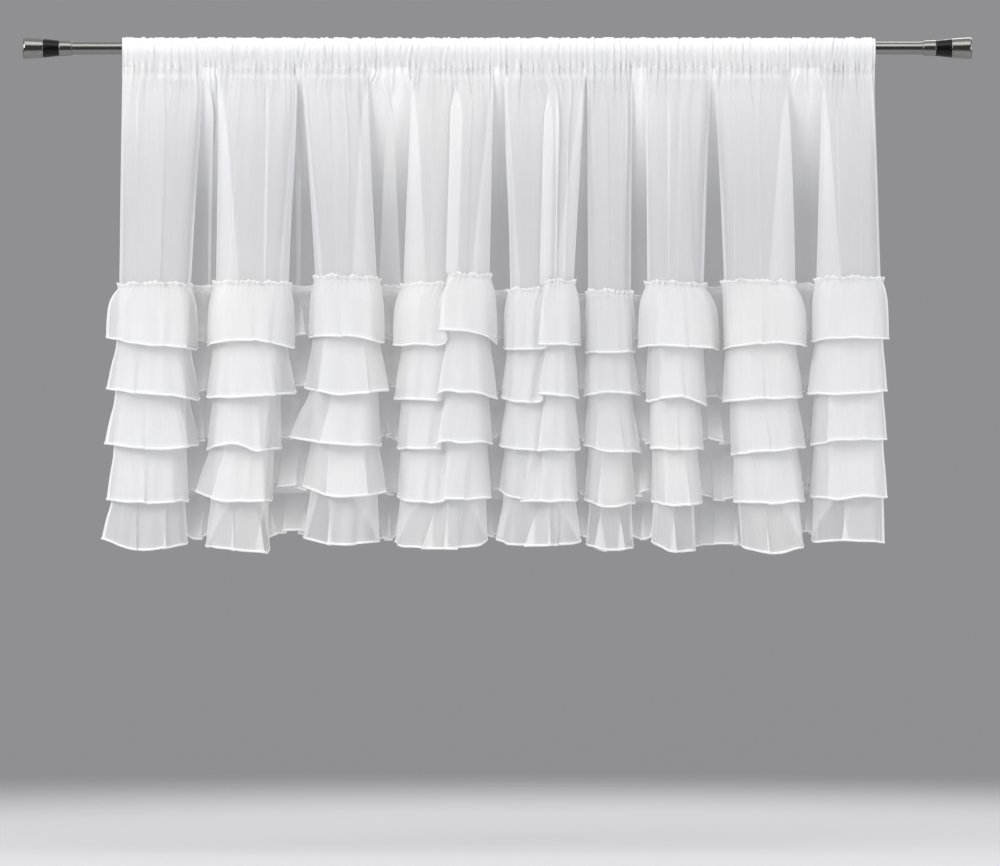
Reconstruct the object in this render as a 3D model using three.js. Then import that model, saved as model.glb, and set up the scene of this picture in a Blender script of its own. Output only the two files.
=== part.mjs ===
// A ruffled voile net curtain gathered on a metal rod with a turned finial at each end.
// Millimetres. +X runs along the rod to the right, the front faces -Y and +Z is up.
// The origin is on the rod's axis, midway along it.
import * as THREE from "three";

// Rod and finials
const SIDES = 24;
const ROD_DIAMETER = 25;
const ROD_WALL = 1;
const BARE_ROD_START = 772;
const FINIAL_START = 851;
const FINIAL_LENGTH = 98;
const SEAT_DEPTH = 24;
const FIT_GAP = 0.3;
const COLLAR_RADII = { lip: 13.9, lipLength: 3, start: 14.7, end: 15.7, length: 26 };
const BAND = { length: 32, depth: 2, endRadius: 19, gap: 0.35 };
const CAP = { radius: 21.5, bevel: 1.2 };

// Cloth
const PANEL_THICKNESS = 1.5;
const RUFFLE_THICKNESS = 1.5;
const HEM_THICKNESS = 2.4;
const SEAM_OFFSET = 2;
const HEADING_LEFT = -751;
const HEADING_RIGHT = 755;
const POCKET_SEAM_Z = -36;
const POCKET_HEM_Z = -60;
const FIRST_SEAM_Z = -478;
const PANEL_FOOT_Z = -886;
const LOOSE_GATHER_Z = -105;
const HANGING_ROWS_Z = [-190, -320];
const GATHER_PUFF = 8;
const GATHER_SWAY = 5;
const GATHER_MEAN = 0.72;
const GATHER_SPREAD = 0.28;
const GATHER_TURN = 2.3;
const LAYER_HALF = 1.7;
const DEPTH_GROWTH = 110;
const SPREAD_GROWTH = 60;

// The rod pocket round the rod, back to front, in its own section.
const POCKET = [
  { y: 15.8, z: -2, outY: 1, outZ: 0 },
  { y: 9.6, z: 13.1, outY: 0.6, outZ: 0.8 },
  { y: 0, z: 13.8, outY: 0, outZ: 1 },
  { y: -9.6, z: 13.1, outY: -0.6, outZ: 0.8 },
  { y: -15.8, z: -2, outY: -1, outZ: 0 },
];

// The nine main folds of the panel, left to right: their edges at the top ruffle's seam and at the
// foot, how far forward their face stands, how far behind that its left half steps, and how much
// higher than the mean the seams ride on the left and right half.
const FOLDS = [
  { left: -755, right: -615, foot: [-767, -629], front: -48, step: 0, lifts: [0, 0] },
  { left: -563, right: -417, foot: [-569, -463], front: -55, step: 0, lifts: [4, 2] },
  { left: -363, right: -241, foot: [-371, -243], front: -50, step: 0, lifts: [14, 12] },
  { left: -187, right: -17, foot: [-191, -27], front: -62, step: 14, lifts: [0, 18] },
  { left: 25, right: 151, foot: [15, 151], front: -54, step: 12, lifts: [-10, 6] },
  { left: 181, right: 267, foot: [187, 265], front: -26, step: 0, lifts: [-14, -16] },
  { left: 301, right: 413, foot: [317, 389], front: -48, step: 0, lifts: [4, 0] },
  { left: 453, right: 591, foot: [485, 599], front: -52, step: 0, lifts: [6, 4] },
  { left: 639, right: 767, foot: [635, 769], front: -44, step: 0, lifts: [12, 12] },
];

// The hollows between them: where each meets the heading, how far back it goes and how far its cloth
// spreads behind the fold on its left and on its right.
const HOLLOWS = [
  { head: -583, back: 30, under: [6, 38] },
  { head: -401, back: 26, under: [16, 12] },
  { head: -247, back: 34, under: [42, 38] },
  { head: -5, back: 24, under: [32, 16] },
  { head: 173, back: 18, under: [34, 6] },
  { head: 269, back: 20, under: [6, 6] },
  { head: 429, back: 30, under: [6, 6] },
  { head: 581, back: 28, under: [38, 40] },
];

// One fold across its face: share of its cloth at the heading, of its width and of its depth.
const EDGE_DEPTH = 0.5;
const FACE = [
  { along: 0.16, across: 0, depth: EDGE_DEPTH },
  { along: 0.27, across: 0.13, depth: 0.12 },
  { along: 0.42, across: 0.36, depth: 0 },
  { along: 0.58, across: 0.64, depth: 0 },
  { along: 0.73, across: 0.87, depth: 0.12 },
  { along: 0.84, across: 1, depth: EDGE_DEPTH },
];
const HOLLOW_ALONG = 0.07;
const HEM_TURN = 0.18;
const HOLLOW_DROP = 6;

// The ruffles, top to bottom: height of the seam and of the mean hem, how much of its flare each row
// has, and for each fold the edges of its hem and how far the hem hangs below the mean at the left
// edge, a third and two thirds of the way across and at the right edge.
const RUFFLES = [
  {
    name: "ruffle_1", seam: -478, hem: -596, swell: [0, 0.38, 0.7, 0.97, 1],
    folds: [
      { left: -781, right: -597, dips: [-16, -2, 2, 10] },
      { left: -581, right: -405, dips: [0, -10, -8, 6] },
      { left: -377, right: -225, dips: [-16, -18, -16, -4] },
      { left: -209, right: -1, dips: [0, 0, -28, -2] },
      { left: 11, right: 167, dips: [6, 8, 0, 0] },
      { left: 175, right: 277, dips: [14, 14, 14, 12] },
      { left: 287, right: 437, dips: [2, 2, 4, 8] },
      { left: 446, right: 619, dips: [6, -2, -4, 2] },
      { left: 629, right: 781, dips: [-8, -14, -14, -14] },
    ],
  },
  {
    name: "ruffle_2", seam: -548, hem: -698, swell: [0, 0.14, 0.6, 0.96, 1],
    folds: [
      { left: -783, right: -593, dips: [-14, -6, -2, 8] },
      { left: -581, right: -401, dips: [2, 2, 0, -8] },
      { left: -387, right: -217, dips: [-18, -2, -4, -12] },
      { left: -207, right: -1, dips: [4, 8, -8, 6] },
      { left: 9, right: 165, dips: [2, 12, -2, 4] },
      { left: 175, right: 281, dips: [0, -8, -8, -4] },
      { left: 299, right: 417, dips: [10, 4, 2, 18] },
      { left: 449, right: 611, dips: [12, 6, 6, 2] },
      { left: 621, right: 781, dips: [-4, -4, -6, -10] },
    ],
  },
  {
    name: "ruffle_3", seam: -654, hem: -800, swell: [0, 0.14, 0.6, 0.96, 1],
    folds: [
      { left: -783, right: -595, dips: [-6, 2, 4, -4] },
      { left: -581, right: -431, dips: [4, -10, 8, 0] },
      { left: -417, right: -229, dips: [-20, -8, -4, -2] },
      { left: -201, right: -9, dips: [2, 2, -10, -8] },
      { left: 5, right: 163, dips: [-6, 6, 6, 2] },
      { left: 173, right: 289, dips: [-4, 8, 10, 10] },
      { left: 305, right: 411, dips: [2, 4, 4, 2] },
      { left: 467, right: 615, dips: [14, 10, 6, -2] },
      { left: 625, right: 779, dips: [-4, -14, -16, -16] },
    ],
  },
  {
    name: "ruffle_4", seam: -758, hem: -906, swell: [0, 0.14, 0.6, 0.96, 1],
    folds: [
      { left: -779, right: -617, dips: [-2, 4, 4, 0] },
      { left: -605, right: -447, dips: [-18, 2, 2, 0] },
      { left: -387, right: -223, dips: [-28, -8, -8, -16] },
      { left: -201, right: -13, dips: [-6, 4, -2, -8] },
      { left: 3, right: 161, dips: [-22, 2, 2, 0] },
      { left: 173, right: 275, dips: [-2, 12, 12, 4] },
      { left: 307, right: 411, dips: [0, 10, 10, 4] },
      { left: 473, right: 615, dips: [2, 6, 6, 0] },
      { left: 625, right: 779, dips: [-8, -2, -8, -6] },
    ],
  },
  {
    name: "ruffle_5", seam: -860, hem: -1000, swell: [0, 0.14, 0.6, 0.96, 1],
    folds: [
      { left: -787, right: -619, dips: [-16, 2, 4, -10] },
      { left: -583, right: -455, dips: [-4, 2, 8, 10] },
      { left: -389, right: -235, dips: [-20, -6, -6, -12] },
      { left: -207, right: -19, dips: [-10, 2, 2, -14] },
      { left: -3, right: 167, dips: [-20, -4, -4, -14] },
      { left: 179, right: 273, dips: [-6, 6, 6, 0] },
      { left: 309, right: 393, dips: [-10, 6, 8, 6] },
      { left: 487, right: 613, dips: [-2, 10, 10, -2] },
      { left: 629, right: 777, dips: [-12, -14, -14, -10] },
    ],
  },
];
const RUFFLE_ROWS = [0, 0.34, 0.66, 0.965, 1];
const HEM_FLARE = 22;
const HEM_HOLLOW = 18;
const HOLLOW_RISE = 10;

const lerp = (a, b, share) => a + (b - a) * share;
const last = FOLDS.length - 1;

// A value for each column of the cloth: FACE points of every fold with one point each side of a hollow.
function columns(facePoint, hollowPoint) {
  const list = [];
  FOLDS.forEach((fold, i) => {
    if (i > 0) {
      list.push(hollowPoint(i - 1, i, 1));
    }
    FACE.forEach((point) => list.push(facePoint(i, point)));
    if (i < last) {
      list.push(hollowPoint(i, i + 1, 0));
    }
  });
  return list;
}

// A fold line in plan from each fold's edges, face and hollows.
function foldLine(edges, forward, hollowForward, hollowX) {
  const backOf = (i) => (HOLLOWS[i] ? HOLLOWS[i].back : 0);
  const face = (i, { across, depth }) => {
    const side = across < 0.5 ? backOf(i - 1) : backOf(i);
    const step = across < 0.5 ? FOLDS[i].step : 0;
    const y = lerp(FOLDS[i].front + step, side, depth) - forward * (1 - depth / EDGE_DEPTH);
    return new THREE.Vector2(lerp(edges[i].left, edges[i].right, across), y);
  };
  const hollow = (i, j, side) => {
    const x = hollowX(edges[i].right, edges[j].left, i, side);
    return new THREE.Vector2(x, backOf(i) - hollowForward);
  };
  return columns(face, hollow);
}

// A hollow's cloth spreads behind the folds beside it at the panel, and turns between them at a hem.
function spreadHollow(right, left, i, side) {
  return side ? left + HOLLOWS[i].under[1] : right - HOLLOWS[i].under[0];
}

function turnedHollow(right, left, i, side) {
  return lerp(right, left, side ? 1 - HEM_TURN : HEM_TURN);
}

// Where each column meets the heading.
function headingLine() {
  const start = (i) => (i === 0 ? HEADING_LEFT : HOLLOWS[i - 1].head);
  const end = (i) => (i === last ? HEADING_RIGHT : HOLLOWS[i].head);
  const first = FACE[0].along;
  const final = FACE[FACE.length - 1].along;
  const face = (i, { along }) => {
    const from = i === 0 ? first : 0;
    const to = i === last ? final : 1;
    return lerp(start(i), end(i), (along - from) / (to - from));
  };
  const hollow = (i, j, side) => {
    const fold = side ? j : i;
    return lerp(start(fold), end(fold), side ? HOLLOW_ALONG : 1 - HOLLOW_ALONG);
  };
  return columns(face, hollow);
}

// How much higher than the mean each column's seams ride.
function liftLine() {
  const face = (i, { across }) => FOLDS[i].lifts[across < 0.5 ? 0 : 1];
  const hollow = (i, j) => Math.min(FOLDS[i].lifts[1], FOLDS[j].lifts[0]) - HOLLOW_DROP;
  return columns(face, hollow);
}

// How far below its mean height a ruffle's hem hangs at each column.
function dipLine(folds) {
  const face = (i, { across }) => {
    const { dips } = folds[i];
    const place = across * (dips.length - 1);
    const third = Math.min(Math.floor(place), dips.length - 2);
    return lerp(dips[third], dips[third + 1], place - third);
  };
  const hollow = (i, j) => (folds[i].dips.at(-1) + folds[j].dips[0]) / 2 - HOLLOW_RISE;
  return columns(face, hollow);
}

// A plan line moved towards the front by an even distance.
function offsetLine(line, distance) {
  return line.map((point, i) => {
    const before = line[Math.max(i - 1, 0)];
    const after = line[Math.min(i + 1, line.length - 1)];
    const into = point.clone().sub(before).normalize();
    const out = after.clone().sub(point).normalize();
    if (i === 0) {
      into.copy(out);
    }
    if (i === line.length - 1) {
      out.copy(into);
    }
    const along = into.clone().add(out).normalize();
    const reach = distance / along.dot(into);
    return new THREE.Vector2(point.x + along.y * reach, point.y - along.x * reach);
  });
}

const heading = headingLine();
const lifts = liftLine();

const footShare = (z) => (FIRST_SEAM_Z - z) / (FIRST_SEAM_Z - PANEL_FOOT_Z);

// The panel's fold line at a height from the top seam down.
function panelLine(z) {
  const share = footShare(z);
  const edges = FOLDS.map((fold) => ({
    left: lerp(fold.left, fold.foot[0], share),
    right: lerp(fold.right, fold.foot[1], share),
  }));
  return foldLine(edges, 0, 0, spreadHollow);
}

// A row of the panel at a height, with its folds growing from none at the pocket's seam.
function panelRow(z) {
  const level = Math.max(z, FIRST_SEAM_Z);
  const grown = (length) => 1 - Math.exp((level - POCKET_SEAM_Z) / length);
  const whole = (length) => 1 - Math.exp((FIRST_SEAM_Z - POCKET_SEAM_Z) / length);
  const spread = grown(SPREAD_GROWTH) / whole(SPREAD_GROWTH);
  const depth = grown(DEPTH_GROWTH) / whole(DEPTH_GROWTH);
  const line = panelLine(Math.min(z, FIRST_SEAM_Z));
  return line.map((point, i) => {
    const x = lerp(heading[i], point.x, spread);
    return new THREE.Vector3(x, point.y * depth, z + lifts[i] * depth);
  });
}

// The same row with a point added between each two columns, for the heading's gathers.
function doubled(row) {
  const fine = [row[0]];
  row.slice(1).forEach((point, i) => {
    fine.push(row[i].clone().lerp(point, 0.5), point);
  });
  return fine;
}

// Gathers are uneven: each second column stands out by its own amount.
function gatherOf(column) {
  return column % 2 ? GATHER_MEAN + GATHER_SPREAD * Math.sin(column * GATHER_TURN) : 0;
}

function gathered(row, puffY, puffZ, sway) {
  return row.map((point, column) => {
    const gather = gatherOf(column);
    const swing = sway * (gather - 0.5);
    return new THREE.Vector3(
      point.x,
      point.y + puffY * gather - swing,
      point.z + puffZ * gather,
    );
  });
}

function layer(row, y) {
  return row.map((point) => point.clone().add(new THREE.Vector3(0, y, 0)));
}

// A closed solid from rows of points on a sheet's middle, each row as long as the one before it or
// about half as long, with a thickness for each row.
function sheetSolid(rows, thicknesses) {
  const starts = [];
  const middle = [];
  const thickness = [];
  rows.forEach((row, r) => {
    starts.push(middle.length);
    row.forEach((point) => {
      middle.push(point);
      thickness.push(thicknesses[r]);
    });
  });
  const faces = [];
  for (let r = 0; r + 1 < rows.length; r += 1) {
    const a = starts[r];
    const b = starts[r + 1];
    const halved = rows[r + 1].length < rows[r].length;
    for (let c = 0; c + 1 < rows[r + 1].length; c += 1) {
      if (halved) {
        faces.push([a + 2 * c, b + c, a + 2 * c + 1]);
        faces.push([a + 2 * c + 1, b + c, b + c + 1]);
        faces.push([a + 2 * c + 1, b + c + 1, a + 2 * c + 2]);
      } else {
        faces.push([a + c, b + c, a + c + 1]);
        faces.push([a + c + 1, b + c, b + c + 1]);
      }
    }
  }
  const normals = middle.map(() => new THREE.Vector3());
  const edges = new Map();
  faces.forEach((face) => {
    const [p, q, s] = face.map((index) => middle[index]);
    const normal = q.clone().sub(p).cross(s.clone().sub(p));
    face.forEach((index, k) => {
      normals[index].add(normal);
      edges.set(`${index},${face[(k + 1) % 3]}`, [index, face[(k + 1) % 3]]);
    });
  });
  const positions = [];
  [1, -1].forEach((side) => {
    middle.forEach((point, i) => {
      const reach = (side * thickness[i]) / 2;
      positions.push(...point.clone().addScaledVector(normals[i].clone().normalize(), reach).toArray());
    });
  });
  const n = middle.length;
  const index = [];
  faces.forEach(([p, q, s]) => {
    index.push(p, q, s, n + p, n + s, n + q);
  });
  edges.forEach(([p, q]) => {
    if (!edges.has(`${q},${p}`)) {
      index.push(q, p, n + p, q, n + p, n + q);
    }
  });
  const geometry = new THREE.BufferGeometry();
  geometry.setAttribute("position", new THREE.Float32BufferAttribute(positions, 3));
  geometry.setIndex(index);
  geometry.computeVertexNormals();
  return geometry;
}

// Panel: from the turned hem at the back, up round the rod and down the front to its foot.
function panelGeometry() {
  const seam = doubled(panelRow(POCKET_SEAM_Z));
  const hem = doubled(panelRow(POCKET_HEM_Z));
  const rows = [
    gathered(layer(hem, LAYER_HALF), 0, 0, GATHER_SWAY),
    gathered(layer(seam, LAYER_HALF), 0, 0, GATHER_SWAY),
  ];
  POCKET.forEach(({ y, z, outY, outZ }) => {
    const ring = seam.map((point) => new THREE.Vector3(point.x, y, z));
    rows.push(gathered(ring, outY * GATHER_PUFF, outZ * GATHER_PUFF, 0));
  });
  rows.push(gathered(layer(seam, -LAYER_HALF), 0, 0, GATHER_SWAY));
  rows.push(gathered(layer(hem, -LAYER_HALF), 0, 0, GATHER_SWAY));
  rows.push(gathered(doubled(panelRow(LOOSE_GATHER_Z)), 0, 0, GATHER_SWAY / 2));
  HANGING_ROWS_Z.forEach((z) => rows.push(panelRow(z)));
  RUFFLES.forEach(({ seam: z }) => rows.push(panelRow(z)));
  rows.push(panelRow(PANEL_FOOT_Z));
  return sheetSolid(rows, rows.map(() => PANEL_THICKNESS));
}

// A ruffle: its top lies along the panel's folds, then it swells out to its own hem.
function ruffleGeometry({ seam, hem, swell, folds }) {
  const top = offsetLine(panelLine(seam), SEAM_OFFSET);
  const bottom = foldLine(folds, HEM_FLARE, HEM_HOLLOW, turnedHollow);
  const dips = dipLine(folds);
  const row = (share, weight) => top.map((point, i) => {
    const plan = point.clone().lerp(bottom[i], weight);
    return new THREE.Vector3(plan.x, plan.y, lerp(seam + lifts[i], hem - dips[i], share));
  });
  const rows = RUFFLE_ROWS.map((share, k) => row(share, swell[k]));
  const thicknesses = rows.map((_, r) => (r === rows.length - 1 ? HEM_THICKNESS : RUFFLE_THICKNESS));
  return sheetSolid(rows, thicknesses);
}

// A solid of revolution about X from points of radius and distance along.
function turned(profile) {
  const points = profile.map(([radius, along]) => new THREE.Vector2(radius, along));
  const geometry = new THREE.LatheGeometry(points, SIDES, Math.PI / SIDES);
  return geometry.rotateZ(-Math.PI / 2);
}

// Rod: a plain tube, flat facets across ROD_DIAMETER, the bare stretches with facets of their own.
function rodGeometry() {
  const outer = ROD_DIAMETER / 2 / Math.cos(Math.PI / SIDES);
  const inner = outer - ROD_WALL;
  const end = FINIAL_START + SEAT_DEPTH - FIT_GAP;
  const stations = [-end, -FINIAL_START, -BARE_ROD_START, BARE_ROD_START, FINIAL_START, end];
  const outside = stations.map((along) => [outer, along]);
  return turned([[inner, -end], ...outside, [inner, end], [inner, -end]]);
}

// Finial body: collar with the rod's seat, a groove for the band and the flared cap.
const bandStart = COLLAR_RADII.length;
const bandEnd = bandStart + BAND.length;

function finialGeometry() {
  const bore = (ROD_DIAMETER / 2 + FIT_GAP) / Math.cos(Math.PI / SIDES);
  return turned([
    [0, SEAT_DEPTH],
    [bore, SEAT_DEPTH],
    [bore, 0],
    [COLLAR_RADII.lip, 0],
    [COLLAR_RADII.start, COLLAR_RADII.lipLength],
    [COLLAR_RADII.end, bandStart],
    [COLLAR_RADII.end - BAND.depth, bandStart],
    [BAND.endRadius - BAND.depth, bandEnd],
    [BAND.endRadius, bandEnd],
    [CAP.radius, FINIAL_LENGTH - CAP.bevel],
    [CAP.radius - CAP.bevel, FINIAL_LENGTH],
    [0, FINIAL_LENGTH],
  ]);
}

function bandGeometry() {
  const from = bandStart + BAND.gap;
  const to = bandEnd - BAND.gap;
  const inside = BAND.depth - BAND.gap;
  return turned([
    [COLLAR_RADII.end - inside, from],
    [COLLAR_RADII.end, from],
    [BAND.endRadius, to],
    [BAND.endRadius - inside, to],
    [COLLAR_RADII.end - inside, from],
  ]);
}

const PANEL_COLOUR = 0xececee;
const RUFFLE_COLOUR = 0xf3f3f5;
const STEEL_COLOUR = 0xb9b7b2;
const BAND_COLOUR = 0x17161a;

const voile = (color, opacity) => new THREE.MeshStandardMaterial({
  color, roughness: 0.85, metalness: 0, transparent: true, opacity,
});
const steel = () => new THREE.MeshStandardMaterial({ color: STEEL_COLOUR, roughness: 0.32, metalness: 1 });
const gloss = () => new THREE.MeshStandardMaterial({ color: BAND_COLOUR, roughness: 0.3, metalness: 0 });

const curtain = new THREE.Group();
curtain.name = "ruffled_curtain";

function add(name, geometry, material) {
  const mesh = new THREE.Mesh(geometry, material);
  mesh.name = name;
  curtain.add(mesh);
}

add("panel", panelGeometry(), voile(PANEL_COLOUR, 0.6));
RUFFLES.forEach((ruffle) => add(ruffle.name, ruffleGeometry(ruffle), voile(RUFFLE_COLOUR, 0.85)));
add("rod", rodGeometry(), steel());
add("finial_right", finialGeometry().translate(FINIAL_START, 0, 0), steel());
add("finial_right_band", bandGeometry().translate(FINIAL_START, 0, 0), gloss());
add("finial_left", finialGeometry().translate(FINIAL_START, 0, 0).rotateZ(Math.PI), steel());
add("finial_left_band", bandGeometry().translate(FINIAL_START, 0, 0).rotateZ(Math.PI), gloss());

export default curtain;
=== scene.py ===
"""Looks of the ruffled net curtain on its rod: thin voile sheets on the folds of the solids, and a fine rod.

Lengths are in mm until a mesh is made. A fold line is a cloth's line across the curtain at one height: the
points over each fold's face, then six through the hollow after it. A row of cloth has the same number of
columns from each point to the next.
"""
import math
from collections import namedtuple

import bpy
import numpy as np
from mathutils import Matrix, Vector


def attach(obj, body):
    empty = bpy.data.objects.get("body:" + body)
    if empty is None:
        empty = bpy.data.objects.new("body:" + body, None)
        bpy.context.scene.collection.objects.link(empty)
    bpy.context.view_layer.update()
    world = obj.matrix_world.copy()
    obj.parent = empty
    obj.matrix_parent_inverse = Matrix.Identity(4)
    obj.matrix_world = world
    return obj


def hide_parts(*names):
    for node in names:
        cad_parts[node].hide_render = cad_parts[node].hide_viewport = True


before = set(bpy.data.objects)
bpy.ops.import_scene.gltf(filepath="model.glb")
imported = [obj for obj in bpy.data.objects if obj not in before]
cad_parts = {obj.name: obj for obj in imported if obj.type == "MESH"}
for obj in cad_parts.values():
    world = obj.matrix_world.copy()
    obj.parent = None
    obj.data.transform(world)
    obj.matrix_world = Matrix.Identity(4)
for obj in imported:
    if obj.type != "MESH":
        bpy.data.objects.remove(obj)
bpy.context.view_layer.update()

MM = 0.001
LEFT, RIGHT, DIPS = 0, 1, slice(2, None)
AT_PANEL, AT_HEM = 0, 1

# Heights of the panel
POCKET_SEAM_Z = -36
POCKET_HEM_Z = -60
FIRST_SEAM_Z = -478
PANEL_FOOT_Z = -886

# Where the folds begin, where they have their upper edges, and the lengths over which they grow
GROWTH_START_Z = -53
FOLDED_Z = -88
DEPTH_GROWTH = 110
HOLLOW_GROWTH = 260
SPREAD_GROWTH = 32

# Flat sizes of the cloths, in metres
PANEL_FLAT = (2.75, 1.07)
RUFFLE_FLAT_WIDTH = 2.95
RUFFLE_ALLOWANCE = 0.012

# Columns from each point of a fold line to the next
PANEL_STEPS = 19
RUFFLE_STEPS = 12

# Pleats: range of widths and of reaches, knots for each pitch and knots to spare
PLEAT_WIDTHS = (0.5, 1.5)
PLEAT_REACHES = (0.4, 1.0)
PITCH_KNOTS = 2.6
SPARE_KNOTS = 12


# Lines and waves
def lerp(a, b, share):
    return a + (b - a) * share


def ease(low, high, value):
    """0 up to the low value, 1 from the high one on, and a smooth rise between them."""
    share = np.clip((value - low) / (high - low), 0, 1)
    return share * share * (3 - 2 * share)


def spline(points, steps):
    """A smooth line through a row of points, with the same number of steps between each two."""
    p = np.vstack([2 * points[0] - points[1], points, 2 * points[-1] - points[-2]])
    gaps = np.maximum(np.linalg.norm(np.diff(p, axis=0), axis=1), 1e-3) ** 0.5
    knots = np.concatenate([[0], np.cumsum(gaps)])
    t0, t1, t2, t3 = (knots[k:len(knots) - 3 + k][:, None, None] for k in range(4))
    p0, p1, p2, p3 = (p[k:len(p) - 3 + k][:, None, :] for k in range(4))
    t = t1 + (t2 - t1) * np.linspace(0, 1, steps, endpoint=False)[None, :, None]

    def mixed(a, b, start, end):
        return ((end - t) * a + (t - start) * b) / (end - start)

    a, b, c = mixed(p0, p1, t0, t1), mixed(p1, p2, t1, t2), mixed(p2, p3, t2, t3)
    line = mixed(mixed(a, b, t0, t2), mixed(b, c, t1, t3), t1, t2)
    return np.vstack([line.reshape(-1, p.shape[1]), points[-1:]])


def pleats(place, pitch, seed):
    """Uneven waves along a line: crests and troughs by turns, each with a width and a reach of its own."""
    rng = np.random.default_rng(seed)
    count = int((place.max() - place.min()) / pitch * PITCH_KNOTS) + SPARE_KNOTS
    knots = place.min() - pitch + np.cumsum(pitch / 2 * rng.uniform(*PLEAT_WIDTHS, count))
    reach = rng.uniform(*PLEAT_REACHES, count) * np.where(np.arange(count) % 2, 1, -1)
    i = np.clip(np.searchsorted(knots, place) - 1, 0, count - 2)
    share = np.clip((place - knots[i]) / (knots[i + 1] - knots[i]), 0, 1)
    return lerp(reach[i], reach[i + 1], (1 - np.cos(np.pi * share)) / 2)


def drift(place, pitch, seed):
    """A slow wander between -1 and 1 along a line."""
    rng = np.random.default_rng(seed)
    count = int((place.max() - place.min()) / pitch) + 4
    knots = place.min() + (np.arange(count) - 1) * pitch
    return np.interp(place, knots, rng.uniform(-1, 1, count))


def fronts(line):
    """The direction towards the cloth's front side at each point of a plan line."""
    along = np.gradient(line[:, :2], axis=0)
    along /= np.maximum(np.linalg.norm(along, axis=1), 1e-6)[:, None]
    return np.column_stack([along[:, 1], -along[:, 0]])


def front_share(line, least):
    """1 where a line faces the front, and the least share where it faces back."""
    return lerp(least, 1, ease(-0.2, 0.5, -fronts(line)[:, 1]))


def pushed(line, amount):
    """The line moved towards its front side, by one amount or one for each point."""
    out = line.copy()
    out[:, :2] += fronts(line) * np.reshape(amount, (-1, 1))
    return out


def tucked(line, centre, half, overlap, step, side, lean=-1):
    """The line folded over itself at a column.

    With side 1 the left part lies in front, with -1 the right. With lean -1 neither goes behind the line, and
    with lean 1 neither goes in front of it.
    """
    t = (np.arange(len(line)) - centre) / half
    widest = math.sqrt(2 * math.e)
    out = line.copy()
    out[:, 0] -= overlap * widest * t * np.exp(-t * t)
    out[:, 1] += 0.5 * step * (side * np.tanh(2.2 * t) + lean) * np.exp(-((t / 4.5) ** 2))
    return out


def column_at(line, x):
    """The column on a front face that lies nearest to x."""
    facing = fronts(line)[:, 1] < -0.6
    return int(np.argmin(np.where(facing, np.abs(line[:, 0] - x), np.inf)))


# Folds
# A main fold: its left and right edges under the heading, at the top seam and at the foot, the depth of its
# face, and how much higher the seams ride on its left and right. A stepped fold lies back left of its split,
# a share of its width at the panel and at a hem. The cover scales that of its ruffles
Fold = namedtuple("Fold", "top seam foot front lifts step split cover", defaults=(0, (), 1))
FOLDS = [
    Fold((-751, -593), (-755, -615), (-767, -629), -48, (0, 0)),
    Fold((-557, -403), (-563, -417), (-569, -463), -55, (4, 2)),
    Fold((-387, -261), (-363, -241), (-371, -243), -50, (14, 12)),
    Fold((-171, -9), (-187, -17), (-191, -27), -62, (0, 18), step=14, split=(0.54, 0.46)),
    Fold((17, 173), (25, 151), (15, 151), -54, (-10, 6), step=12, split=(0.585, 0.48)),
    Fold((179, 269), (181, 267), (187, 265), -26, (-14, -16), cover=0.62),
    Fold((299, 425), (301, 413), (317, 389), -48, (4, 0)),
    Fold((437, 583), (453, 591), (485, 599), -52, (6, 4)),
    Fold((649, 755), (639, 767), (635, 769), -44, (12, 12)),
]
LAST = len(FOLDS) - 1


# A hollow between two folds: its depth, and how far it reaches behind the left and the right fold
Hollow = namedtuple("Hollow", "back under")
HOLLOWS = [
    Hollow(30, (6, 50)), Hollow(26, (22, 16)), Hollow(34, (56, 50)), Hollow(24, (42, 20)),
    Hollow(18, (46, 6)), Hollow(20, (5, 6)), Hollow(30, (6, 6)), Hollow(28, (52, 54)),
]
# The share of that reach just under the heading
UNDER_TOP = 0.22
# Its inner and outer points: shares of that reach, of the flat heading, and for the outer of the way forward
HOLLOW_POINTS = 6
INNER_UNDER, OUTER_UNDER = 0.5, 0.92
INNER_PLACE, OUTER_PLACE = 0.22, 0.07
OUTER_FORWARD = 0.34


# A point across a fold: its share of the cloth at the heading, of the fold's width and of the way back
FacePoint = namedtuple("FacePoint", "along across depth")
EDGE_DEPTH = 0.5
FACE = [
    FacePoint(0.16, 0, EDGE_DEPTH),
    FacePoint(0.27, 0.13, 0.12),
    FacePoint(0.42, 0.36, 0),
    FacePoint(0.58, 0.64, 0),
    FacePoint(0.73, 0.87, 0.12),
    FacePoint(0.84, 1, EDGE_DEPTH),
]
# Half the share of a fold's width in which it steps
STEP_HALF = 0.014
# How much lower the seams hang in the hollows and towards the folds' edges
HOLLOW_DROP = 6
EDGE_DROP = 8


def face_points(i, level):
    """The points across a fold, with two close together where it steps."""
    if not FOLDS[i].split:
        return FACE
    split = FOLDS[i].split[level]
    return [
        *FACE[:2],
        FacePoint(0.4, split * 0.7, 0),
        FacePoint(0.49, split - STEP_HALF, 0),
        FacePoint(0.51, split + STEP_HALF, 0),
        FacePoint(0.6, lerp(split, 1, 0.35), 0),
        *FACE[-2:],
    ]


def fold_line(face, hollow, level=AT_PANEL, stray=None):
    """A fold line, from a function for points of a face and one for points of a hollow."""
    points = []
    for i in range(len(FOLDS)):
        points += [face(i, *point) for point in face_points(i, level)]
        if i == LAST:
            break
        left, right = (np.array(hollow(i, side, True), dtype=float) for side in (LEFT, RIGHT))
        middle = [lerp(left, right, share) for share in (1 / 3, 2 / 3)]
        if stray is not None:
            middle = [point + more for point, more in zip(middle, stray[i])]
        points += [hollow(i, LEFT, False), left, *middle, right, hollow(i, RIGHT, False)]
    return np.array(points, dtype=float)


def fold_values(face, hollow):
    """One value for each point of a fold line."""
    return fold_line(lambda *at: [face(*at)], lambda *at: [hollow(*at)])[:, 0]


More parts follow.
